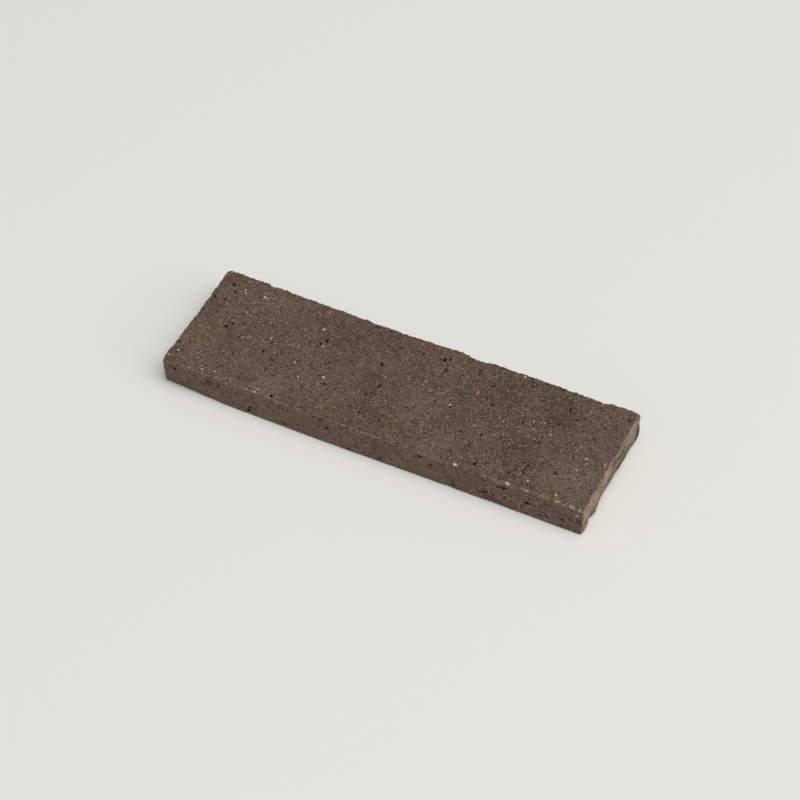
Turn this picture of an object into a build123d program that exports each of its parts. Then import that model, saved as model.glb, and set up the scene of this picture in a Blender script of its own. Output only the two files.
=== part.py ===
from build123d import *
import os
from math import sqrt

# A brick slip is a thin slice sawn from the face of an extruded, fired clay brick.
# It lies on its sawn back with the weathering face up: X runs along the course, Y across it,
# and the origin is the middle of the sawn back. All sizes are in millimetres.
slip_length = 215.0
slip_height = 65.0
slip_thickness = 16.5

# The right end was cut a little out of square: it stands upright under the face, then leans in.
end_upright = 4.0
end_lean = 0.8

# Drying, firing and handling have rounded the edges of the face and the four standing corners.
face_arris_radius = 0.6
corner_radius = 0.8

# The saw leaves a crisp edge round the back, with only a hair of it crumbled away.
sawn_edge_break = 0.35

# At the lower left corner the saw ran out of the slice: the foot slants away there, by these
# lengths along the lower bed, up the corner and along the left end.
foot_slant_length = 38.0
foot_slant_height = 9.0
foot_slant_depth = 2.2

# Chips are shell-shaped bites out of an edge. Each row gives how far along the edge the chip
# lies, as a share of the edge, then half of its length and its bite, in millimetres.
upper_arris_chips = [(0.115, 2.4, 1.5), (0.375, 6.0, 1.0), (0.632, 7.0, 1.5)]
lower_arris_chips = [(0.55, 4.5, 0.9), (0.82, 3.0, 1.1), (0.91, 5.5, 1.0)]
left_arris_chips = [(0.17, 2.6, 1.0), (0.73, 2.8, 0.8)]
right_foot_chips = [(0.146, 2.6, 0.9), (0.42, 9.0, 1.0), (0.62, 5.0, 0.8)]
lower_foot_chips = [(0.69, 3.0, 0.8), (0.80, 8.0, 0.8)]

# The ends, and the two long sides that bed on the mortar below and above the slip
left_end = -slip_length / 2
right_end = slip_length / 2
right_foot = right_end - end_lean
lower_bed = -slip_height / 2
upper_bed = slip_height / 2

# The corners of the weathering face and of the sawn back, before they are rounded
face_lower_left = Vector(left_end, lower_bed, slip_thickness)
face_lower_right = Vector(right_end, lower_bed, slip_thickness)
face_upper_left = Vector(left_end, upper_bed, slip_thickness)
face_upper_right = Vector(right_end, upper_bed, slip_thickness)
foot_lower_left = Vector(left_end, lower_bed, 0)
foot_lower_right = Vector(right_foot, lower_bed, 0)
foot_upper_right = Vector(right_foot, upper_bed, 0)


def take_chips(chips, corner_a, corner_b, out_a, out_b):
    """Bites shell-shaped chips out of the edge from corner_a to corner_b, where the faces that
    meet there look towards out_a and out_b. The ball that bites stands as far outside the one
    face as outside the other, so the chip is as deep on both."""
    for share, half_length, bite in chips:
        stand_off = (half_length**2 - bite**2) / (2 * bite)
        ball_radius = sqrt(half_length**2 + 2 * stand_off**2)
        on_edge = corner_a + (corner_b - corner_a) * share
        with Locations(on_edge + (out_a + out_b) * stand_off):
            Sphere(ball_radius, mode=Mode.SUBTRACT)


with BuildPart() as slip:
    # The long section, with the leaning end on the right, drawn out across the course
    with BuildSketch(Plane.XZ):
        with BuildLine():
            Polyline(
                (left_end, 0),
                (right_foot, 0),
                (right_end, slip_thickness - end_upright),
                (right_end, slip_thickness),
                (left_end, slip_thickness),
                close=True,
            )
        make_face()
    extrude(amount=slip_height / 2, both=True)

    # The standing corners, then the arrises of the weathering face and the sawn edge of the back
    standing = slip.edges().filter_by(Plane.XZ).filter_by(Axis.X, reverse=True)
    fillet(standing, corner_radius)
    fillet(slip.faces().sort_by(Axis.Z)[-1].edges(), face_arris_radius)
    chamfer(slip.faces().sort_by(Axis.Z)[0].edges(), sawn_edge_break)

    # The slanting foot of the lower left corner
    up_the_corner = Vector(-foot_slant_length, 0, foot_slant_height)
    along_the_end = Vector(-foot_slant_length, foot_slant_depth, 0)
    slant_start = foot_lower_left + Vector(foot_slant_length, 0, 0)
    slant = Plane(slant_start, x_dir=up_the_corner, z_dir=up_the_corner.cross(along_the_end))
    split(bisect_by=slant, keep=Keep.BOTTOM)

    # Chips out of three arrises of the face
    out_right, out_up, out_upper = Vector(1, 0, 0), Vector(0, 0, 1), Vector(0, 1, 0)
    take_chips(upper_arris_chips, face_upper_left, face_upper_right, out_upper, out_up)
    take_chips(lower_arris_chips, face_lower_left, face_lower_right, -out_upper, out_up)
    take_chips(left_arris_chips, face_lower_left, face_upper_left, -out_right, out_up)

    # Chips out of the sawn edge, at the foot of the right end and of the lower bed
    take_chips(right_foot_chips, foot_lower_right, foot_upper_right, out_right, -out_up)
    take_chips(lower_foot_chips, foot_lower_left, foot_lower_right, -out_upper, -out_up)

slip.part.label = "brick_slip"
slip.part.color = Color(0.13, 0.094, 0.078)

os.makedirs("parts", exist_ok=True)
export_step(slip.part, "parts/brick_slip.step")
print("volume", round(slip.part.volume), "mm3, box", slip.part.bounding_box().size)
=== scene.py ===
# %% [markdown]
# # A fired clay brick slip
# A brick slip is a slice, about as thick as a finger, that is sawn off the face of a clay brick.
# It is glued to a wall, so that the wall looks as if it were built of whole bricks. This lesson
# dresses one slip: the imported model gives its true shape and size, and every step here adds what
# the clay, the kiln, the saw and the pallet did to it.

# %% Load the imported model
import random

import bmesh
import bpy
import numpy as np
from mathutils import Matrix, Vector, kdtree, noise


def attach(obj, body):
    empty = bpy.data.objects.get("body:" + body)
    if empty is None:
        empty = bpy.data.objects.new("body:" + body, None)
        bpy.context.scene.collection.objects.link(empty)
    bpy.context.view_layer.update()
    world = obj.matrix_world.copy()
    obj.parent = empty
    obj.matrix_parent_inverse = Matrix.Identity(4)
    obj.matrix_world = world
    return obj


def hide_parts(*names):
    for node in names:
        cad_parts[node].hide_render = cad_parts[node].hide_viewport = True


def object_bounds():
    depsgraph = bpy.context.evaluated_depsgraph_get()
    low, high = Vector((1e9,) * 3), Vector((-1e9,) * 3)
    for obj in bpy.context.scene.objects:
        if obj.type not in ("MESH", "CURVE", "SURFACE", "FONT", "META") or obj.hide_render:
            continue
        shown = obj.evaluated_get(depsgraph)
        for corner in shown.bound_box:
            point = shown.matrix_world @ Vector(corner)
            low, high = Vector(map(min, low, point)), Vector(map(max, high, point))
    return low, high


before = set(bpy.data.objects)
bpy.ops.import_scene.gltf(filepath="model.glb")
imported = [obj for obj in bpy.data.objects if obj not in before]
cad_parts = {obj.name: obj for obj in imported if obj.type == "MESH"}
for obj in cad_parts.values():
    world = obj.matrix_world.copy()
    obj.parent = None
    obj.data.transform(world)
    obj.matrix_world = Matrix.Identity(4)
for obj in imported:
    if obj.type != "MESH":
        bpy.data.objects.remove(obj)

cad_low, cad_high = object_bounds()
print("the slip measures", [round(1000 * side, 1) for side in cad_high - cad_low], "mm")

# %% [markdown]
# ## Millimetres and colours
# Blender counts in metres, but a brickmaker thinks in millimetres. So the points are moved in plain
# millimetres, and a small size that Blender itself reads is written as a number times MM. Colours
# are given as the hex values of a screen, and the renderer needs them as amounts of light,
# so one function turns the one into the other.

# %% Units and colours
MM = 0.001


def light_of(hex_colour):
    """The linear colour of an sRGB hex value such as "5F5047", with an alpha of 1."""
    parts = [int(hex_colour[i:i + 2], 16) / 255 for i in (0, 2, 4)]
    return [c / 12.92 if c <= 0.04045 else ((c + 0.055) / 1.055) ** 2.4 for c in parts] + [1.0]


print("a middle brown as light:", [round(amount, 3) for amount in light_of("5F5047")])

# %% [markdown]
# ## The raw slice
# The flat sides of the model are a few large triangles, which can't show a grainy surface. A voxel
# remesh lays an even net over the same shape. Half a millimetre is about the size of the coarser
# sand in the clay, so each grain gets a point of its own to stand on. The copy is merged first,
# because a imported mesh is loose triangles, and a remesh needs a closed skin.

# %% Copy, merge and remesh
sand_grain = 0.5 * MM

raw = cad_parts["brick_slip"].data.copy()
skin = bmesh.new()
skin.from_mesh(raw)
bmesh.ops.remove_doubles(skin, verts=skin.verts, dist=0.001 * MM)
skin.to_mesh(raw)
skin.free()

raw_slip = bpy.data.objects.new("raw_slip", raw)
bpy.context.scene.collection.objects.link(raw_slip)
remesh = raw_slip.modifiers.new("even net", "REMESH")
remesh.mode = "VOXEL"
remesh.voxel_size = sand_grain


def finished_mesh(piece):
    """A new mesh of the piece as its modifiers leave it."""
    bpy.context.view_layer.update()
    modified = piece.evaluated_get(bpy.context.evaluated_depsgraph_get())
    return bpy.data.meshes.new_from_object(modified)


clay = finished_mesh(raw_slip)
bpy.data.objects.remove(raw_slip)
print("the even net has", len(clay.vertices), "points")

# %% [markdown]
# ## Where each point lies
# Every later step asks the same questions of a point: which way does the skin face there, how far
# is it from each side, and is it on the sawn back? They are answered once, for all points.

# %% Places of the points
place = np.empty(len(clay.vertices) * 3)
clay.vertices.foreach_get("co", place)
place = place.reshape(-1, 3) / MM
facing = np.empty(len(clay.vertices) * 3)
clay.vertex_normals.foreach_get("vector", facing)
facing = facing.reshape(-1, 3)

x, y, z = place.T
left, lower, _ = np.array(cad_low) / MM
right, upper, thickness = np.array(cad_high) / MM
print("the points lie from", round(float(x.min()), 1), "to", round(float(x.max()), 1), "mm along x")

# %% [markdown]
# From its place and its facing follows how far a point is from each side, and which side it is on.
# One small function turns such a number into a soft switch, so that nothing starts at a hard line.

# %% Distances and sides
def fade(value, start, end):
    """0 up to start, 1 from end on, and a smooth rise between them."""
    t = np.clip((value - start) / (end - start), 0, 1)
    return t * t * (3 - 2 * t)


from_left = x - left
from_right = right - x
from_lower = y - lower
from_upper = upper - y
from_face = thickness - z
from_arris = np.sort([from_left, from_right, from_lower, from_upper, from_face], axis=0)[1]
near_back = 1 - fade(z, 0.3, 1.5)

# 1 where the skin looks straight out of that side, and 0 where it looks another way
on_face = fade(facing[:, 2], 0.5, 0.9)
on_back = fade(-facing[:, 2], 0.5, 0.9)
on_lower_side = fade(-facing[:, 1], 0.3, 0.8)
on_long_sides = fade(np.abs(facing[:, 1]), 0.3, 0.8)
on_right_end = fade(facing[:, 0], 0.3, 0.8)
on_ends = fade(np.abs(facing[:, 0]), 0.3, 0.8)
print("points on the face:", int(on_face.sum()), "on the back:", int(on_back.sum()))

# %% [markdown]
# Clay is rough at every scale, and one kind of noise makes all of it: soft lumps of a chosen size,
# with finer lumps on top. Each use has its own seed, so that no two layers share their lumps.

# %% Lumpy noise
def lumps(size_mm, seed, octaves=2, stretch=(1, 1, 1)):
    """Smooth noise, about -1 to 1, whose largest lumps are size_mm across times stretch."""
    shift = Vector((17.1 * seed, -9.7 * seed, 5.3 * seed))
    points = place / (size_mm * np.array(stretch))
    return np.array([noise.fractal(Vector(point) + shift, 1.0, 2.0, octaves) for point in points])


unevenness = lumps(5, seed=2)
print("5 mm lumps run from", round(float(unevenness.min()), 2),
      "to", round(float(unevenness.max()), 2))

# %% [markdown]
# ## The hand of the kiln
# Clay shrinks by up to a tenth as it dries and burns, and never evenly, so no edge of a fired slip
# is straight. The upper edge bows by a millimetre and ends in two proud corners, the left end has a
# step, and the foot of the right end waves in and out. Each edge is bent along a few given places.

# %% Places along the edges
# Each bend gives places along its edge, and how far the edge stands out there, in millimetres
upper_bend = [
    (-107, 0.7), (-103, 1.5), (-98, 1.2), (-88, 1.5), (-80, 1.0), (-60, 0.4), (-45, 0.3),
    (-24, 0.0), (-12, -0.4), (5, 0.2), (14, 0.7), (19, 0.5), (22, -0.4), (28, 0.1), (38, 0.4),
    (62, 0.5), (80, 0.2), (91, 0.1), (94, 1.0), (98, 1.3), (102, 1.5), (107, 0.9),
]
lower_foot_bend = [
    (-107, -0.2), (-85, -0.1), (-60, 0.1), (-35, 0.3), (-5, 0.3), (15, 0.1), (40, 0.0),
]
left_bend = [
    (-32, 0.2), (-29, 0.6), (-23.5, 0.6), (-21.5, 0.1), (-10, 0.2), (-4, 0.3), (2, 0.1), (12, 0.1),
    (18, 0.3), (24, -0.1), (27, 0.1), (31, 0.1),
]
right_foot_bend = [
    (-32, 0.3), (-26, 0.5), (-23, -0.4), (-20, 0.4), (-17, 0.7), (-12, 0.0), (-6, -0.4), (8, -0.1),
    (12, 0.3), (26, 0.4), (32, 0.9),
]
print("the upper edge is bent at", len(upper_bend), "places")

# %% [markdown]
# Between two places an edge runs straight, and the 5 mm lumps roughen it. The points within a
# centimetre of an edge go with it, so that the edge moves as a whole and nothing tears.

# %% Bend the edges
edge_band = 10


def bent(value, bend):
    """How far an edge stands out at each place along it."""
    places, heights = zip(*bend)
    return np.interp(value, places, heights)


def beside(gap):
    """1 on an edge, and 0 from the width of the edge band inside it."""
    return 1 - fade(gap, 0, edge_band)


uneven = 0.16 * unevenness
bow_right = bent(y, right_foot_bend) * (1 - 0.6 * fade(z, 6, 13)) + uneven
bow_left = bent(y, left_bend) + uneven
bow_upper = bent(x, upper_bend) + uneven
bow_lower = bent(x, lower_foot_bend) * (1 - 0.6 * fade(z, 4, 12)) + 0.5 * uneven
bends = np.zeros_like(place)
bends[:, 0] = bow_right * beside(from_right) - bow_left * beside(from_left)
bends[:, 1] = bow_upper * beside(from_upper) - bow_lower * beside(from_lower)
print("the edges stand out by up to", round(float(bends.max()), 2), "mm")

# %% [markdown]
# ## Worn arrises
# The arrises rub on the pallet and on each other. They are rounded here as a bevel would do it,
# each point moving onto a quarter circle, but with a radius that changes along the edge: the lower
# arris is worn to two millimetres on its left half and to one on its right.

# %% Round the arrises
lower_radius_left = 2.1
lower_radius_right = 1.1
upper_radius = 0.6
left_radius = 0.8
upper_left_corner_radius = 1.2
never_zero = 1e-6


def rounding(gap_a, gap_b, radius):
    """How far a point moves in from each of two faces, so that their arris becomes round."""
    in_a = np.maximum(radius - gap_a, 0)
    in_b = np.maximum(radius - gap_b, 0)
    reach = np.maximum(np.hypot(in_a, in_b), never_zero)
    pull = np.maximum(reach - radius, 0) / reach
    return in_a * pull, in_b * pull


uneven_wear = 1 + 0.35 * lumps(7, seed=19)
lower_radius = lower_radius_left - (lower_radius_left - lower_radius_right) * fade(x, 15, 55)
lower_in, lower_down = rounding(from_lower, from_face, lower_radius * uneven_wear)
upper_in, upper_down = rounding(from_upper, from_face, upper_radius * uneven_wear)
left_in, left_down = rounding(from_left, from_face, left_radius * uneven_wear)
corner_radius = upper_left_corner_radius * uneven_wear
corner_along, corner_across = rounding(from_left, from_upper, corner_radius)
wear_across = lower_in - upper_in - corner_across
wear = np.stack([left_in + corner_along, wear_across, -lower_down - upper_down - left_down], axis=1)
print("the wear takes off up to", round(float(lower_down.max()), 2), "mm")

# %% [markdown]
# ## Crumbs and skin
# Little crumbs break out of the arrises, so the outline is ragged at the scale of the sand. The
# face was cut by a wire and is flat but grainy, with slow hollows a few centimetres wide. The long
# sides were dragged over the die and show faint grooves along their length. The ends are torn.

# %% Crumbs, hollows, grains, grooves and torn ends
# Each noise is multiplied by how far it reaches in or out, in millimetres
at_arris = 1 - fade(from_arris, 0.3, 2.2)
small_crumbs = 0.42 * lumps(1.7, seed=3, octaves=3)
large_crumbs = 0.22 * lumps(4.5, seed=12)
crumbs = at_arris * (small_crumbs + large_crumbs - 0.05)
hollows = 0.16 * lumps(28, seed=4)
rough_skin = 0.08 * lumps(3.2, seed=5) + 0.09 * lumps(1.25, seed=6)
grooves = on_long_sides * 0.10 * lumps(1.6, seed=7, stretch=(9, 1, 1))
large_tears = 0.20 * lumps(6, seed=13, stretch=(1, 1.6, 0.8))
small_tears = 0.16 * lumps(2.0, seed=14, octaves=3)
torn_end = on_ends * (large_tears + small_tears)
print("the crumbs reach", round(float(np.abs(crumbs).max()), 2), "mm in or out")

# %% [markdown]
# ## Pores
# Where a crumb of clay or a bubble tore out, the skin has a pore: a pit one or two millimetres
# wide, whose dark bottom is painted shade. A k-d tree finds the points near each pit, which
# then sink.

# %% A tree of points, and a pit
tree = kdtree.KDTree(len(place))
for index, point in enumerate(place):
    tree.insert(point, index)
tree.balance()
pore_depth = np.zeros(len(place))
raggedness = lumps(0.9, seed=15, octaves=1)


def sink_pore(centre, radius, depth, slimness=0.0, along=Vector((0, 1, 0))):
    """Sinks the points round centre into a pit with a ragged rim, longer along one way if slim."""
    for point, index, _ in tree.find_range(centre, 2.0 * radius):
        offset = point - Vector(centre)
        lengthwise = offset.dot(along)
        across = offset.length_squared - slimness * lengthwise * lengthwise
        reach = across ** 0.5 / radius + 0.6 * raggedness[index]
        if reach < 1:
            pore_depth[index] = max(pore_depth[index], depth * (1 - reach * reach))


print("the tree holds", len(place), "points")

# %% [markdown]
# The largest pores are placed one by one where the real slip has them, on its face and on its lower
# side. A pore of size 1 is 1.4 mm wide and about 0.9 mm deep.

# %% Placed pores
# Each pore is given by where it lies on its side and by its size, in millimetres
face_pores = [
    (-100.8, 25.4, 1.0), (-99.9, 15.6, 1.1), (-104.7, 14.0, 0.9), (-66.5, -0.3, 1.0),
    (-62.0, -10.3, 0.9), (-43.6, 12.3, 1.3), (-45.4, 8.8, 0.9), (-13.6, 9.5, 1.2),
    (-8.6, -2.4, 1.0), (-11.9, -10.6, 1.1), (-51.1, -30.8, 1.2), (-32.2, -13.5, 0.9),
    (11.8, 24.7, 1.1), (15.0, 19.4, 0.9), (39.3, 19.9, 1.1), (41.1, 3.4, 0.9), (18.7, -0.6, 0.9),
    (37.5, -12.8, 1.0), (46.8, -10.3, 1.0), (51.4, -27.8, 1.1), (81.8, 12.9, 0.9),
    (77.5, 21.5, 1.0), (86.6, -16.7, 1.0), (70.7, -3.5, 0.8), (90.0, -4.5, 0.9),
    (-79.4, -14.6, 0.8), (-61.1, -16.4, 0.9), (67.4, -25.9, 0.9), (39.8, 11.9, 1.0),
    (61.0, 4.7, 0.9), (27.6, 8.0, 0.8), (76.4, 11.3, 0.8), (29.7, 26.2, 0.9), (73.8, -18.2, 0.8),
]
lower_side_pores = [
    (-101.8, 12.5, 1.1), (-93.7, 13.4, 0.8), (-83.7, 11.6, 1.0), (-77.9, 11.7, 0.9),
    (-62.4, 2.6, 1.4), (-21.1, 10.0, 1.2), (-25.0, 13.2, 0.9), (26.0, 13.0, 1.0), (31.5, 10.0, 0.9),
    (43.2, 2.4, 1.0), (68.3, 12.6, 1.3), (62.3, 6.9, 0.8), (69.1, 6.9, 0.9), (80.2, 8.3, 1.3),
    (86.7, 9.0, 0.8), (97.3, 5.8, 1.1), (101.1, 7.7, 1.0),
]
placed_slimness = 0.6
along_side = Vector((1, 0, 0.2)).normalized()
for along_x, across_y, size in face_pores:
    sink_pore((along_x, across_y, thickness), 0.7 * size, 0.9 * size, placed_slimness)
for along_x, up_z, size in lower_side_pores:
    sink_pore((along_x, lower, up_z), 0.7 * size, 0.9 * size, placed_slimness, along_side)
print("placed pores:", len(face_pores) + len(lower_side_pores))

# %% [markdown]
# The rest of the pores are drawn in clusters, because the clay tears more easily in some places
# than in others. The wire pulled the pores of the face long across the course, and the die pulled
# those of the sides long along it, so the scattered ones are slim too and lean, more or less, that
# way. Their size is drawn by the cube of a chance, which keeps most of them small.

# %% Scattered pores
scattered_pores = 450
smallest_radius = 0.4
radius_spread = 0.45
dice = random.Random(7)
open_skin = np.flatnonzero((on_back < 0.1) & (z > 0.8))
crowding = fade(lumps(12, seed=8), -0.2, 0.55)
drawn = 0
while drawn < scattered_pores:
    centre = dice.choice(open_skin)
    if dice.random() < 0.2 + 0.8 * crowding[centre]:
        drawn += 1
        radius = smallest_radius + radius_spread * dice.random() ** 3
        pull = Vector((0, 1.5, 0)) if on_face[centre] > 0.5 else Vector((1.5, 0, 0))
        stray = Vector((dice.gauss(0, 1), dice.gauss(0, 1), dice.gauss(0, 0.5)))
        depth = radius * dice.uniform(0.5, 1.1)
        slimness = dice.uniform(0.3, 0.85)
        sink_pore(place[centre], radius, depth, slimness, (pull + stray).normalized())
print("scattered pores:", drawn, "points in a pore:", int((pore_depth > 0.05).sum()))

# %% [markdown]
# ## Creases
# Short tears run across the course on the face, where the soft clay was pulled, and along the lower
# side, which has one long gash at its foot. Each is a line of two to four points, in millimetres.

# %% Lines of the creases
face_creases = [
    [(7.5, 29.0), (12.5, 25.5), (15.5, 20.0), (14.5, 13.5)],
    [(-29.7, -18.5), (-28.6, -20.5), (-27.6, -22.8)],
    [(73.5, -15.5), (73.0, -20.0), (73.5, -26.5)],
    [(-43.5, 14.5), (-43.0, 10.0)],
    [(-38.5, 1.5), (-37.2, -3.1), (-35.8, -4.4)],
    [(13.0, -24.0), (12.0, -30.5)],
    [(36.0, -11.5), (38.5, -17.0), (40.0, -21.5)],
    [(58.5, 18.5), (59.0, 14.0)],
    [(-41.8, -4.2), (-43.8, -3.0)],
    [(77.5, 23.0), (78.0, 19.0), (77.0, 16.5)],
]
lower_side_creases = [
    [(55.5, 4.6), (62.2, 3.4), (69.0, 1.6)],
    [(58.5, 6.0), (63.5, 5.0)],
    [(78.0, 8.4), (83.0, 8.2)],
    [(64.5, 12.4), (70.0, 12.8)],
]
print("creases:", len(face_creases) + len(lower_side_creases))

# %% [markdown]
# A point belongs to a crease by how near it lies to one of its lines. One noise makes the lines
# wriggle, and another breaks them up.

# %% Creases and a gash
crease_half_width = 0.5
wriggle =0.45 * np.stack([lumps(2.5, seed=9), lumps(2.5, seed=10)], axis=1)
patchy = np.maximum(fade(lumps(2.0, seed=11), -0.5, 0.2), 0.8 * on_lower_side)


def creased(lines, across, where):
    """How deep each point lies in the lines, 0 to 1. across picks the two axes the lines lie in."""
    flat_place = place[:, across] + wriggle
    deepest = np.zeros(len(place))
    for line in lines:
        for start, end in zip(line, line[1:]):
            run = np.subtract(end, start)
            share = np.clip(((flat_place - start) @ run) / (run @ run), 0, 1)
            gap = np.linalg.norm(flat_place - start - share[:, None] * run, axis=1)
            deepest = np.maximum(deepest, 1 - fade(gap, 0.1, crease_half_width))
    return deepest * where * patchy


crease = creased(face_creases, [0, 1], on_face)
crease += creased(lower_side_creases, [0, 2], on_lower_side)
print("points in a crease:", int((crease > 0.1).sum()))

# %% [markdown]
# ## Move the points
# All the moves are added up. The sawn back stays flat, because the saw cut it last, and the slip
# lies on it. Nothing stands out from a long side by more than the mortar joint could hide.

# %% Move the points
crease_depth = 0.5
proudest_lower = 0.4
proudest_upper = 1.5
relief =crumbs + hollows + rough_skin + grooves + torn_end - pore_depth - crease_depth * crease
relief *= 1 - np.maximum(on_back, 0.7 * near_back)
moved = place + bends + wear + facing * relief[:, None]
moved[:, 1] = np.clip(moved[:, 1], lower - proudest_lower, upper + proudest_upper)
moved[:, 2] = np.maximum(moved[:, 2], 0)
clay.vertices.foreach_set("co", (moved * MM).ravel())
print("the relief runs from", round(float(relief.min()), 2),
      "to", round(float(relief.max()), 2), "mm")

# %% [markdown]
# ## Marks for the finish
# The finish has to know where the pores are dark, where the kiln left the clay paler, and where
# dust or rubbing whitened it. A point attribute carries each of these from here to the material,
# and travels with the mesh wherever it is exported. The mark of a grain or a pore falls off gently
# round its middle, and the material cuts it off sharply near a half, which draws a crisp rim
# between the points of the net.

# %% Marks on the points
def mark(name, amount):
    """Stores a number from 0 to 1 at each point, for the material to read."""
    attribute = clay.attributes.new(name, "FLOAT", "POINT")
    attribute.data.foreach_set("value", np.clip(amount, 0, 1))


def spots(places, across, where):
    """1 in the middle of each place, a half at its radius. across picks the two axes it lies in."""
    amount = np.zeros(len(place))
    for centre_a, centre_b, radius in places:
        gap = np.hypot(place[:, across[0]] - centre_a, place[:, across[1]] - centre_b)
        amount = np.maximum(amount, 1 - 0.5 * gap / radius - 0.12 * raggedness)
    return amount * (where > 0.3)


def haze(places):
    """Soft blots, each given as x, y and radius, that fade from their middle to their radius."""
    amount = np.zeros(len(place))
    for centre_x, centre_y, radius in places:
        amount = np.maximum(amount, 1 - fade(np.hypot(x - centre_x, y - centre_y), 0, radius))
    return amount


print("a blot of 10 mm in the middle covers", int((haze([(0, 0, 10)]) > 0).sum()), "points")

# %% [markdown]
# The clay was tempered with sand, and its palest grains are the first thing that the eye finds on
# the dark face. The largest ones, white and ochre, are placed one by one like the largest pores.

# %% Grains of pale and ochre sand
# Each grain is given by where it lies on its side and by its radius, in millimetres
white_grains = [
    (-47.9, 17.7, 0.6), (-43.3, 7.7, 0.45), (-68.1, 1.6, 0.5), (-50.8, -7.3, 0.4),
    (-34.4, -10.1, 0.6), (-45.2, -14.6, 0.4), (-59.4, -32.0, 0.6), (-51.1, -32.0, 0.5),
    (-93.6, 24.4, 0.45), (-92.7, 22.9, 0.35), (-86.1, 11.9, 0.4), (50.5, 31.1, 0.6),
    (46.8, 19.7, 0.35), (70.0, 9.0, 0.4), (65.2, 7.7, 0.4), (75.6, 3.3, 0.4), (26.2, 0.3, 0.45),
    (43.6, -32.0, 0.75), (69.2, -31.6, 0.5), (70.3, -31.8, 0.4), (-103.3, -24.1, 0.5),
    (10.0, 9.4, 0.35), (105.2, -3.0, 0.55), (-83.1, 24.2, 0.55), (-81.7, 24.1, 0.4),
    (77.4, -26.4, 0.5), (-106.0, -28.5, 0.45), (-88.0, -29.9, 0.4), (-81.9, -28.8, 0.45),
    (-58.5, -29.8, 0.4), (-73.2, -29.6, 0.35), (-94.0, -31.9, 0.35), (92.3, -28.6, 0.5),
    (41.7, -6.6, 0.4), (52.6, 1.1, 0.35), (52.3, -7.7, 0.35), (50.4, 2.7, 0.35), (23.6, -10.6, 0.4),
    (-44.0, 24.3, 0.3), (-50.2, 28.3, 0.35),
]
ochre_grains = [
    (-92.4, 5.1, 0.45), (-78.0, -3.0, 0.45), (-70.7, -0.9, 0.4), (-72.9, 10.7, 0.35),
    (-54.0, 2.9, 0.4), (34.7, 12.9, 0.55), (34.8, 11.3, 0.4), (37.3, -14.0, 0.45),
    (59.5, 12.6, 0.35), (53.8, -1.5, 0.3), (96.0, -3.1, 0.55), (94.6, -11.2, 0.45),
    (-103.3, 16.9, 0.4), (29.5, -25.5, 0.35), (-63.3, -32.0, 0.4), (-79.8, -31.5, 0.4),
]
lower_side_ochre_grains = [(104.3, 12.3, 0.6)]
ochre_mark = spots(ochre_grains, [0, 1], on_face)
ochre_mark += spots(lower_side_ochre_grains, [0, 2], on_lower_side)
mark("white_grain", spots(white_grains, [0, 1], on_face))
print("placed grains:", len(white_grains) + len(ochre_grains) + len(lower_side_ochre_grains))

# %% [markdown]
# The kiln left some places paler and some darker, and the wire left some crumbly and some smeared.
# Both are read off the real slip as soft blots, and a slow noise keeps them from looking drawn. The
# long sides are painted paler as a whole, which is painted light: brighter than the lamps light
# them.

# %% Kiln tone, painted side light and crumbliness
# Each place is given by its x, its y and its radius, in millimetres
paler_places = [
    (-96, -12, 16), (-80, 26, 14), (15, -6, 18), (98, -24, 20), (30, -26, 16), (-55, -24, 14),
]
darker_places = [(-30, 16, 22), (-12, -2, 14), (45, 6, 20), (72, 20, 18), (62, -10, 14)]
crumbly_places = [
    (-92, 22, 14), (-46, 12, 9), (62, 11, 13), (-62, 0, 10), (-30, -12, 12), (20, -22, 14),
    (80, -24, 16), (30, -10, 12), (102, -14, 9),
]
smeared_places = [
    (-4, 14, 18), (-64, 18, 14), (-8, 27, 14), (2, -26, 9), (48, 24, 10), (-74, -24, 12),
]
kiln_tone_and_side_light = 0.32 + 0.28 * haze(paler_places) - 0.28 * haze(darker_places)
kiln_tone_and_side_light += 0.24 * lumps(20, seed=16)
crumbly = 0.5 + 0.4 * haze(crumbly_places) - 0.4 * haze(smeared_places)
crumbly += 0.25 * lumps(10, seed=20)
# painted light: the long sides are painted paler than the lamps light them
mark("kiln_tone_and_side_light", kiln_tone_and_side_light + 0.7 * on_long_sides)
mark("crumbly", crumbly + 0.3 * on_long_sides + 0.2 * on_right_end)
print("kiln shade on the face:", round(float(kiln_tone_and_side_light[on_face > 0.5].mean()), 2))

# %% [markdown]
# The right end is painted pale: partly brick dust and partly painted light, which makes it paler
# than its lamp alone would. It is darker towards its foot, and its arris has none. Both ends have
# at least a thin dust. In the middle of the end the dust was wiped off along the course of the saw,
# and dark and golden streaks of the raw clay show. The end is painted darker towards its back
# corner, and the foot of that corner has a painted shade.

# %% Dust, painted light and streaks on the ends
under_arris = 1 - fade(z, thickness - 1.0, thickness - 0.2)
# painted light: the right end is painted paler than its lamp lights it, and darker towards its foot
end_dust_and_light = on_right_end * under_arris * (0.4 + 0.6 * fade(z, 3, 10))
end_dust_and_light = np.maximum(end_dust_and_light, 0.5 * on_ends)
wiped = on_right_end * fade(y, -6, 6) * (1 - fade(y, 17, 25))
streaks = lumps(1.6, seed=17, stretch=(1, 5, 0.9))
golden_bits = fade(lumps(0.9, seed=22, octaves=1, stretch=(1, 4, 0.9)), 0.15, 0.35)
painted_corner_shade = on_right_end * fade(y, 28, 30.5) * fade(z, 1, 3) * (1 - fade(z, 8, 11))
wiped_off = 0.9 * wiped * fade(streaks, -0.3, 0.2)
thin_dust = 0.35 * fade(streaks, 0.0, 0.35)
# the end is painted darker towards its back corner
darker_back_corner = 0.75 * fade(y, 26.5, 31.5)
end_dust_and_light *= (1 - wiped_off) * (1 - painted_corner_shade)
end_dust_and_light *= (1 - thin_dust) * (1 - darker_back_corner)
ochre_mark += 0.5 * wiped * fade(streaks, -0.2, 0.1) * golden_bits
mark("dust_and_painted_light", end_dust_and_light)
mark("ochre_grain", ochre_mark)
print("dusty points:", int((end_dust_and_light > 0.5).sum()))
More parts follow.
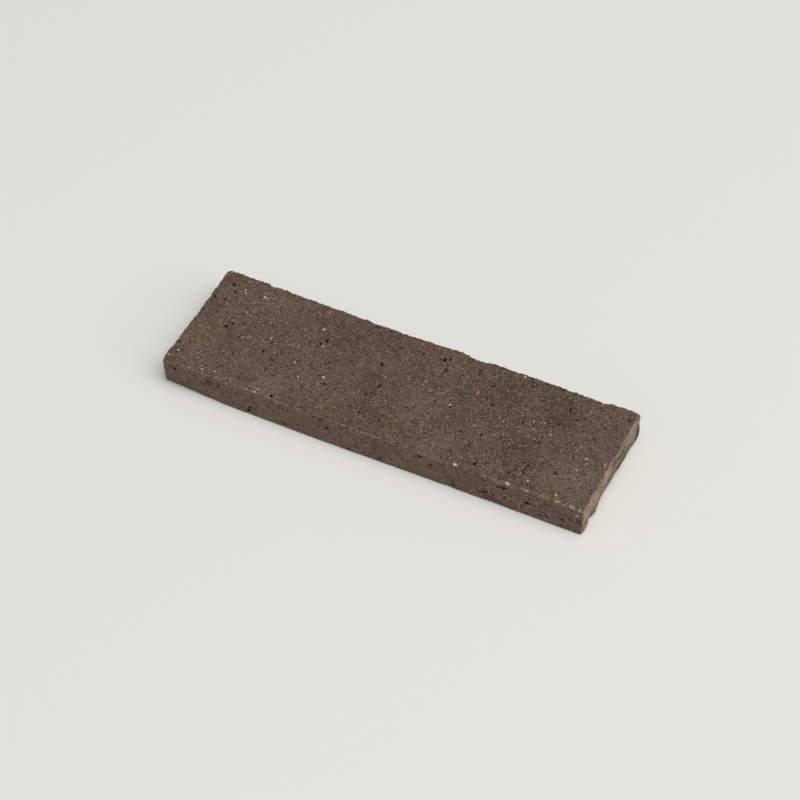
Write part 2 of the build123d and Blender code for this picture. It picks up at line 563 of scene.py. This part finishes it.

# %% [markdown]
# The rim of the lower arris is scuffed pale in six places, where the slip was handled. The die left
# dark drag marks along the lower side. These and the dark streaks look like the pores, as do the
# painted shade in the creases and at the foot of the back corner, so they share one mark with the
# painted shade of the pores.

# %% Scuffs, drag marks, and the painted shade of pores, creases and a corner
# Each scuff runs from one x to another, in millimetres
scuffs = [(43.0, 44.6), (68.5, 70.5), (76.0, 79.5), (86.0, 89.0), (94.0, 98.0), (99.5, 105.0)]
rim_line = 1 - fade(np.hypot(from_lower - 0.35, from_face - 0.2), 0.3, 1.1)
rubbed = sum(fade(x, start - 1, start) * (1 - fade(x, end, end + 1)) for start, end in scuffs)
patchy_rub = fade(lumps(1.2, seed=18), -0.15, 0.2)
rim_scuff = rim_line * (0.15 * fade(x, 50, 62) + 1.1 * rubbed) * patchy_rub
drag_marks = on_lower_side * fade(lumps(1.1, seed=21, stretch=(3, 1, 1)), 0.3, 0.55)

darkest_depth = 0.6
dark_streaks = 0.35 * wiped * fade(streaks, 0.05, 0.4) + 0.4 * drag_marks
painted_crease_shade = (0.7 + 0.3 * on_lower_side) * crease
# painted shade in the pores, the creases and the foot of the back corner, with the dark streaks and
# drag marks
mark("pore_shade_and_streaks", pore_depth / darkest_depth + painted_crease_shade + 0.5 * painted_corner_shade + dark_streaks)
mark("scuff", rim_scuff)
print("scuffed points:", int((rim_scuff > 0.4).sum()))

# %% [markdown]
# ## A lighter net on the back
# Nobody sees the sawn back of a slip, and it is flat, so most of its points are given away. The
# Decimate modifier thins only the points of one vertex group.

# %% Thin the sawn back
share_kept = 0.64

for polygon in clay.polygons:
    polygon.use_smooth = True
slip = bpy.data.objects.new("fired_slip", clay)
bpy.context.scene.collection.objects.link(slip)
back_group = slip.vertex_groups.new(name="sawn_back")
from_rim = np.min([from_left, from_right, from_lower, from_upper], axis=0)
back_group.add(np.flatnonzero((on_back > 0.9) & (from_rim > 1)).tolist(), 1.0, "REPLACE")
thin = slip.modifiers.new("thin the back", "DECIMATE")
thin.ratio = share_kept
thin.vertex_group = back_group.name
slip.data = finished_mesh(slip)
slip.modifiers.clear()
slip.vertex_groups.clear()
print("triangles:", sum(len(polygon.vertices) - 2 for polygon in slip.data.polygons))

# %% [markdown]
# ## A helper for nodes
# A finish is a tree of nodes. One small function adds any node and fills its inputs: with a value,
# with a socket, or with another node, of which it then takes the first output that is in use. The
# first node of the clay's finish says where on the slip a point lies, and every pattern starts
# from that, so that it goes right through the slip as the grain of real clay does.

# %% Add a node
def add_node(tree, kind, settings=None, inputs=None):
    """Adds one node, with its settings, and each input as a value or as what feeds it."""
    node = tree.nodes.new(kind)
    for name, value in (settings or {}).items():
        setattr(node, name, value)
    for name, value in (inputs or {}).items():
        in_use = [socket for socket in node.inputs if socket.enabled and socket.name == name]
        socket = node.inputs[name] if isinstance(name, int) else in_use[0]
        if isinstance(value, bpy.types.Node):
            value = [output for output in value.outputs if output.enabled][0]
        if isinstance(value, bpy.types.NodeSocket):
            tree.links.new(value, socket)
        else:
            socket.default_value = value
    return node


fired_clay = bpy.data.materials.new("fired_clay_dark_brown")
fired_clay.use_nodes = True
clay_tree = fired_clay.node_tree
clay_tree.nodes.clear()
coords = add_node(clay_tree, "ShaderNodeTexCoord").outputs["Object"]
print("every pattern starts from the", coords.name, "coordinates")

# %% [markdown]
# ## The finish: fired clay
# The clay was fired dark in a kiln short of air: a dull dark brown, open and rough, with no
# glaze. What gives it away to the eye is that no two grains are alike. So the colour is built as
# the clay itself is, from a brown paste, crushed grains lighter and darker than it with painted
# relief shade among them, pale and ochre sand, and pores painted dark as the shade in them. The
# paste comes first, greyer or warmer as the kiln left it and painted paler on the long sides, which
# is painted light, with clots of a clay that has more iron and burned redder.

# %% The paste
cloud_size = 18 * MM
clot_size = 4 * MM

tone_and_side_light = add_node(clay_tree, "ShaderNodeAttribute", {"attribute_name": "kiln_tone_and_side_light"})
# painted light: the tone mark makes the long sides paler than the lamps light them
paste = add_node(clay_tree, "ShaderNodeMix", {"data_type": "RGBA"}, {
    "Factor": tone_and_side_light.outputs["Fac"], "A": light_of("4D4038"), "B": light_of("786458")})
warm_clouds = add_node(clay_tree, "ShaderNodeTexNoise", inputs={
    "Vector": coords, "Scale": 1 / cloud_size, "Detail": 3.0})
warmth = add_node(clay_tree, "ShaderNodeMapRange", inputs={
    "Value": warm_clouds, "From Min": 0.42, "From Max": 0.66, "To Min": 0.0, "To Max": 0.45})
warm_paste = add_node(clay_tree, "ShaderNodeMix", {"data_type": "RGBA"}, {
    "Factor": warmth, "A": paste, "B": light_of("69503F")})
red_clots = add_node(clay_tree, "ShaderNodeTexNoise", inputs={
    "Vector": coords, "Scale": 1 / clot_size, "Detail": 3.0})
redness = add_node(clay_tree, "ShaderNodeMapRange", inputs={
    "Value": red_clots, "From Min": 0.48, "From Max": 0.64, "To Min": 0.0, "To Max": 0.17})
mixed_paste = add_node(clay_tree, "ShaderNodeMix", {"data_type": "RGBA"}, {
    "Factor": redness, "A": warm_paste, "B": light_of("6F4A45")})
print("nodes of the paste:", len(clay_tree.nodes))

# %% [markdown]
# The ends were rubbed and stand in brick dust, which on the right end is partly painted light, and
# the rim of the lower arris is scuffed pale. Dust and painted light lie on the paste and under the
# grain, so the roughness still shows through them.

# %% Dust, painted light and scuffs
dust_and_painted_light = add_node(clay_tree, "ShaderNodeAttribute", {"attribute_name": "dust_and_painted_light"})
# partly dust and partly painted light: the right end is painted paler than its lamp lights it
dusty_and_lit = add_node(clay_tree, "ShaderNodeMix", {"data_type": "RGBA"}, {
    "Factor": dust_and_painted_light.outputs["Fac"], "A": mixed_paste, "B": light_of("B19987")})
scuff = add_node(clay_tree, "ShaderNodeAttribute", {"attribute_name": "scuff"})
scuffed = add_node(clay_tree, "ShaderNodeMix", {"data_type": "RGBA"}, {
    "Factor": scuff.outputs["Fac"], "A": dusty_and_lit, "B": light_of("B3A396")})
print("nodes up to the dust:", len(clay_tree.nodes))

# %% [markdown]
# Most of the crushed grains are about 0.4 mm across. Voronoi cells give each one its own lot, and
# the lot says how far it is from the paste, towards a dark brown or towards a pale grey. They are
# partly the colours of the grains and partly painted shade and painted highlight, which stand in
# for the shading of the fine relief. The fifth power keeps most of them close to the paste and a
# few far from it, as crumbs of one clay are. Real crumbs are never neat cells, so a fine noise
# first pushes the places that they are read at. The mark of the smeared and crumbly places says how
# much the crumbs stand out.

# %% Fine crushed grains
jitter_size = 0.8 * MM
jitter_push = 0.5 * MM
fine_grain_size = 0.38 * MM

jitter = add_node(clay_tree, "ShaderNodeTexNoise", inputs={
    "Vector": coords, "Scale": 1 / jitter_size, "Detail": 1.0})
pushed = add_node(clay_tree, "ShaderNodeVectorMath", {"operation": "MULTIPLY_ADD"}, {
    0: jitter.outputs["Color"], 1: [jitter_push] * 3, 2: coords})
fine_grains = add_node(clay_tree, "ShaderNodeTexVoronoi", inputs={
    "Vector": pushed, "Scale": 1 / fine_grain_size})
fine_lot = add_node(clay_tree, "ShaderNodeSeparateColor", inputs={0: fine_grains.outputs["Color"]})
fine_swing = add_node(clay_tree, "ShaderNodeMapRange", inputs={
    "Value": fine_lot, "From Min": 0.0, "From Max": 1.0, "To Min": -1.0, "To Max": 1.0})
fine_tails = add_node(clay_tree, "ShaderNodeMath", {"operation": "POWER"}, {0: fine_swing, 1: 5.0})
crumbly_mark = add_node(clay_tree, "ShaderNodeAttribute", {"attribute_name": "crumbly"})
crumbliness = add_node(clay_tree, "ShaderNodeMapRange", inputs={
    "Value": crumbly_mark.outputs["Fac"],
    "From Min": 0.0, "From Max": 1.0, "To Min": 1.1, "To Max": 2.8})
crumb = add_node(clay_tree, "ShaderNodeMath", {"operation": "MULTIPLY"}, {
    0: fine_tails, 1: crumbliness})
dark_share = add_node(clay_tree, "ShaderNodeMapRange", inputs={
    "Value": crumb, "From Min": 0.0, "From Max": -1.4, "To Min": 0.0, "To Max": 1.0})
pale_share = add_node(clay_tree, "ShaderNodeMapRange", inputs={
    "Value": crumb, "From Min": 0.0, "From Max": 1.4, "To Min": 0.0, "To Max": 0.75})
# partly painted shade and highlight: the dark and pale crumbs stand in for the shading of the fine
# relief
dark_crumbs_and_shade = add_node(clay_tree, "ShaderNodeMix", {"data_type": "RGBA"}, {
    "Factor": dark_share, "A": scuffed, "B": light_of("2B1D16")})
crumbs_and_relief_light = add_node(clay_tree, "ShaderNodeMix", {"data_type": "RGBA"}, {
    "Factor": pale_share, "A": dark_crumbs_and_shade, "B": light_of("AA9A8B")})
print("nodes up to the fine grains:", len(clay_tree.nodes))

# %% [markdown]
# The coarse grains are about a millimetre across and differ by a few percent only, so they show as
# a faint mottle behind the fine ones.

# %% Coarse crushed grains
coarse_grain_size = 1.1 * MM

coarse_grains = add_node(clay_tree, "ShaderNodeTexVoronoi", inputs={
    "Vector": pushed, "Scale": 1 / coarse_grain_size})
coarse_lot = add_node(clay_tree, "ShaderNodeSeparateColor", inputs={
    0: coarse_grains.outputs["Color"]})
coarse_gain = add_node(clay_tree, "ShaderNodeMapRange", inputs={
    "Value": coarse_lot, "From Min": 0.0, "From Max": 1.0, "To Min": 0.96, "To Max": 1.04})
grained = add_node(clay_tree, "ShaderNodeVectorMath", {"operation": "SCALE"}, {
    0: crumbs_and_relief_light, "Scale": coarse_gain})
print("nodes up to the coarse grains:", len(clay_tree.nodes))

# %% [markdown]
# Among the crumbs lie grains of pale and ochre sand. Most are scattered by the lot of a Voronoi
# cell, which also sets how pale each one is. The largest ones are marked points of the mesh.

# %% Sand
sand_spacing = 1.6 * MM
share_without_sand = 0.93

sand = add_node(clay_tree, "ShaderNodeTexVoronoi", inputs={
    "Vector": pushed, "Scale": 1 / sand_spacing})
sand_lot = add_node(clay_tree, "ShaderNodeSeparateColor", inputs={0: sand.outputs["Color"]})
is_sand = add_node(clay_tree, "ShaderNodeMath", {"operation": "GREATER_THAN"}, {
    0: sand_lot, 1: share_without_sand})
sand_size = add_node(clay_tree, "ShaderNodeMapRange", inputs={
    "Value": sand.outputs["Distance"],
    "From Min": 0.14, "From Max": 0.24, "To Min": 1.0, "To Max": 0.0})
sand_spot = add_node(clay_tree, "ShaderNodeMath", {"operation": "MULTIPLY"}, {
    0: is_sand, 1: sand_size})
pale_sand = add_node(clay_tree, "ShaderNodeMix", {"data_type": "RGBA"}, {
    "Factor": sand_lot.outputs["Green"], "A": light_of("7A695C"), "B": light_of("CFC4B6")})
is_ochre = add_node(clay_tree, "ShaderNodeMath", {"operation": "GREATER_THAN"}, {
    0: sand_lot.outputs["Blue"], 1: 0.6})
sand_colour = add_node(clay_tree, "ShaderNodeMix", {"data_type": "RGBA"}, {
    "Factor": is_ochre, "A": pale_sand, "B": light_of("9C7A4E")})
sanded = add_node(clay_tree, "ShaderNodeMix", {"data_type": "RGBA"}, {
    "Factor": sand_spot, "A": grained, "B": sand_colour})
for grain_mark, grain_colour in (("white_grain", "D6CAB8"), ("ochre_grain", "C2A670")):
    grain = add_node(clay_tree, "ShaderNodeAttribute", {"attribute_name": grain_mark})
    sharp = add_node(clay_tree, "ShaderNodeMapRange", inputs={
        "Value": grain.outputs["Fac"], "From Min": 0.4, "From Max": 0.55})
    sanded = add_node(clay_tree, "ShaderNodeMix", {"data_type": "RGBA"}, {
        "Factor": sharp, "A": sanded, "B": light_of(grain_colour)})
print("nodes up to the sand:", len(clay_tree.nodes))

# %% [markdown]
# Pores come last, painted dark as the shade in a hole, because nothing shines out of one. The
# modelled ones are marked on the mesh, and a fine noise tears their rims.

# %% The modelled pores
pore_shade_and_streaks = add_node(clay_tree, "ShaderNodeAttribute", {"attribute_name": "pore_shade_and_streaks"})
torn_rim = add_node(clay_tree, "ShaderNodeMapRange", inputs={
    "Value": jitter, "From Min": 0.3, "From Max": 0.7, "To Min": -0.28, "To Max": 0.28})
torn_pore = add_node(clay_tree, "ShaderNodeMath", {"operation": "ADD"}, {
    0: pore_shade_and_streaks.outputs["Fac"], 1: torn_rim})
deep_pore = add_node(clay_tree, "ShaderNodeMapRange", inputs={
    "Value": torn_pore, "From Min": 0.33, "From Max": 0.7})
print("nodes up to the modelled pores:", len(clay_tree.nodes))

# %% [markdown]
# The pores too fine to model are Voronoi cells again, each with a hole of its own size, painted
# dark as shade and crowded together by a slow noise.

# %% Pin holes
pin_hole_spacing = 1.5 * MM
crowd_size = 8 * MM

pin_holes = add_node(clay_tree, "ShaderNodeTexVoronoi", inputs={
    "Vector": pushed, "Scale": 1 / pin_hole_spacing})
pin_lot = add_node(clay_tree, "ShaderNodeSeparateColor", inputs={0: pin_holes.outputs["Color"]})
crowd = add_node(clay_tree, "ShaderNodeTexNoise", inputs={
    "Vector": coords, "Scale": 1 / crowd_size, "Detail": 2.0})
crowd_share = add_node(clay_tree, "ShaderNodeMapRange", inputs={
    "Value": crowd, "From Min": 0.35, "From Max": 0.65, "To Min": 0.65, "To Max": 0.2})
pin_radius = add_node(clay_tree, "ShaderNodeMapRange", inputs={
    "Value": pin_lot, "From Min": crowd_share, "From Max": 1.0, "To Min": 0.0, "To Max": 0.3})
pin_depth = add_node(clay_tree, "ShaderNodeMath", {"operation": "SUBTRACT"}, {
    0: pin_radius, 1: pin_holes.outputs["Distance"]})
pin_hole = add_node(clay_tree, "ShaderNodeMapRange", inputs={
    "Value": pin_depth, "From Min": -0.03, "From Max": 0.05, "To Min": 0.0, "To Max": 0.9})
print("nodes up to the pin holes:", len(clay_tree.nodes))

# %% [markdown]
# Between the pin holes run hairline tears, painted dark as shade: the borders of larger cells,
# drawn long across the course, of which a noise keeps only short pieces.

# %% Hairline tears
tear_spacing = 2.6 * MM
tear_length = 3.5 * MM
twice_as_long = [1.0, 0.5, 1.0]

drawn_long = add_node(clay_tree, "ShaderNodeVectorMath", {"operation": "MULTIPLY"}, {
    0: pushed, 1: twice_as_long})
tear_lines = add_node(clay_tree, "ShaderNodeTexVoronoi", {"feature": "DISTANCE_TO_EDGE"}, {
    "Vector": drawn_long, "Scale": 1 / tear_spacing})
tear_depth = add_node(clay_tree, "ShaderNodeMapRange", inputs={
    "Value": tear_lines, "From Min": 0.03, "From Max": 0.07, "To Min": 0.55, "To Max": 0.0})
tear_noise = add_node(clay_tree, "ShaderNodeTexNoise", inputs={
    "Vector": coords, "Scale": 1 / tear_length, "Detail": 1.0})
torn_share = add_node(clay_tree, "ShaderNodeMapRange", inputs={
    "Value": tear_noise, "From Min": 0.57, "From Max": 0.65})
tear = add_node(clay_tree, "ShaderNodeMath", {"operation": "MULTIPLY"}, {
    0: tear_depth, 1: torn_share})
print("nodes up to the tears:", len(clay_tree.nodes))

# %% [markdown]
# All these pores become one painted shade, which darkens the clay. Where dust lies, it fills the
# pores and leaves little of their painted shade.

# %% All the pores
fine_pore = add_node(clay_tree, "ShaderNodeMath", {"operation": "MAXIMUM"}, {
    0: pin_hole, 1: tear})
any_pore = add_node(clay_tree, "ShaderNodeMath", {"operation": "MAXIMUM"}, {
    0: deep_pore, 1: fine_pore})
left_open = add_node(clay_tree, "ShaderNodeMapRange", inputs={
    "Value": dust_and_painted_light.outputs["Fac"], "From Min": 0.2, "From Max": 1.0, "To Min": 1.0, "To Max": 0.45})
open_pore_shade = add_node(clay_tree, "ShaderNodeMath", {"operation": "MULTIPLY"}, {
    0: any_pore, 1: left_open})
# painted shade: the pores, pin holes and tears are painted dark as the shade inside them
clay_colour = add_node(clay_tree, "ShaderNodeMix", {"data_type": "RGBA"}, {
    "Factor": open_pore_shade, "A": sanded, "B": light_of("20140D")})
print("nodes up to the pores:", len(clay_tree.nodes))

# %% [markdown]
# The same grains and pores also tilt the light through a bump, which is a few tenths of a
# millimetre high at most. Fired clay has no shine of its own, so the roughness is high, and the
# gloss is held down, because the pores swallow it.

# %% Relief and shader
grain_relief = 0.16 * MM

crumb_height = add_node(clay_tree, "ShaderNodeMath", {"operation": "ADD"}, {
    0: crumb, 1: coarse_gain})
grain_height = add_node(clay_tree, "ShaderNodeMath", {"operation": "SUBTRACT"}, {
    0: crumb_height, 1: fine_pore})
bump = add_node(clay_tree, "ShaderNodeBump", inputs={
    "Height": grain_height, "Distance": grain_relief, "Strength": 1.0})
clay_shader = add_node(clay_tree, "ShaderNodeBsdfPrincipled", inputs={
    "Base Color": clay_colour, "Roughness": 0.9, "IOR": 1.5, "Specular IOR Level": 0.12,
    "Normal": bump})
add_node(clay_tree, "ShaderNodeOutputMaterial", inputs={"Surface": clay_shader})

slip.data.materials.clear()
slip.data.materials.append(fired_clay)
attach(slip, "root")
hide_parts("brick_slip")
print("the clay's finish has", len(clay_tree.nodes), "nodes")

# %% [markdown]
# ## The studio
# The slip lies on a pale floor that runs out of the picture on all sides. The floor is dull white
# paper, as on a photographer's table: it has no shine, and shows the eye only the soft shadow.

# %% The pale floor
half_floor = 5.0

paper_mesh = bpy.data.meshes.new("pale_floor")
paper_grid = bmesh.new()
bmesh.ops.create_grid(paper_grid, x_segments=1, y_segments=1, size=half_floor)
paper_grid.to_mesh(paper_mesh)
paper_grid.free()
floor = bpy.data.objects.new("pale_floor", paper_mesh)
bpy.context.scene.collection.objects.link(floor)
paper = bpy.data.materials.new("dull_white_paper")
paper.use_nodes = True
paper.node_tree.nodes.clear()
paper_shader = add_node(paper.node_tree, "ShaderNodeBsdfPrincipled", inputs={
    "Base Color": light_of("E2E2DC"), "Roughness": 1.0, "Specular IOR Level": 0.0})
add_node(paper.node_tree, "ShaderNodeOutputMaterial", inputs={"Surface": paper_shader})
floor.data.materials.append(paper)
print("the floor measures", [round(side, 1) for side in floor.dimensions], "m")

# %% [markdown]
# ## Light
# The shadows on the floor tell where the light came from: hardly any in front, a soft one that
# fades over four centimetres at the left. So a wide soft box hangs almost straight over the slip,
# a weaker one stands at the right, and the pale room itself gives the rest.

# %% Lamps
def soft_box(name, azimuth, elevation, distance, size, share):
    """A square lamp aimed at the slip, which gives about this share of the floor's light."""
    turn = np.radians(azimuth)
    rise = np.radians(elevation)
    direction = Vector((np.cos(turn) * np.cos(rise), np.sin(turn) * np.cos(rise), np.sin(rise)))
    lamp = bpy.data.lights.new(name, "AREA")
    lamp.shape = "SQUARE"
    lamp.size = size
    lamp.energy = share * (np.pi * distance) ** 2 / direction.z
    box = bpy.data.objects.new(name, lamp)
    box.location = direction * distance
    box.rotation_euler = direction.to_track_quat("Z", "Y").to_euler()
    bpy.context.scene.collection.objects.link(box)


soft_box("overhead_softbox", azimuth=-30, elevation=72, distance=6.0, size=5.0, share=0.794)
soft_box("side_softbox", azimuth=0, elevation=34, distance=6.0, size=4.5, share=0.137)
room_share = 0.239
room = bpy.data.worlds.new("pale_room")
room.use_nodes = True
room_light = room.node_tree.nodes["Background"]
room_light.inputs["Color"].default_value = light_of("FFFFFF")
room_light.inputs["Strength"].default_value = room_share
bpy.context.scene.world = room
bpy.context.scene.view_settings.view_transform = "Standard"

# %% [markdown]
# ## Camera
# The edges of the slip in the photograph meet far away, so it was taken with a long lens from over
# a metre away, looking down on the slip from its lower right.

# %% Camera
camera_place = Vector((380.6, -785.8, 969.6)) * MM
looks_at = Vector((-2.47, 6.18, 0.0)) * MM
lens = bpy.data.cameras.new("photo_camera")
lens.lens = 125.06
lens.sensor_width = 36.0
camera = bpy.data.objects.new("photo_camera", lens)
camera.location = camera_place
camera.rotation_euler = (camera_place - looks_at).to_track_quat("Z", "Y").to_euler()
bpy.context.scene.collection.objects.link(camera)
bpy.context.scene.camera = camera
print("the camera stands", round((camera_place - looks_at).length, 2), "m from the slip")
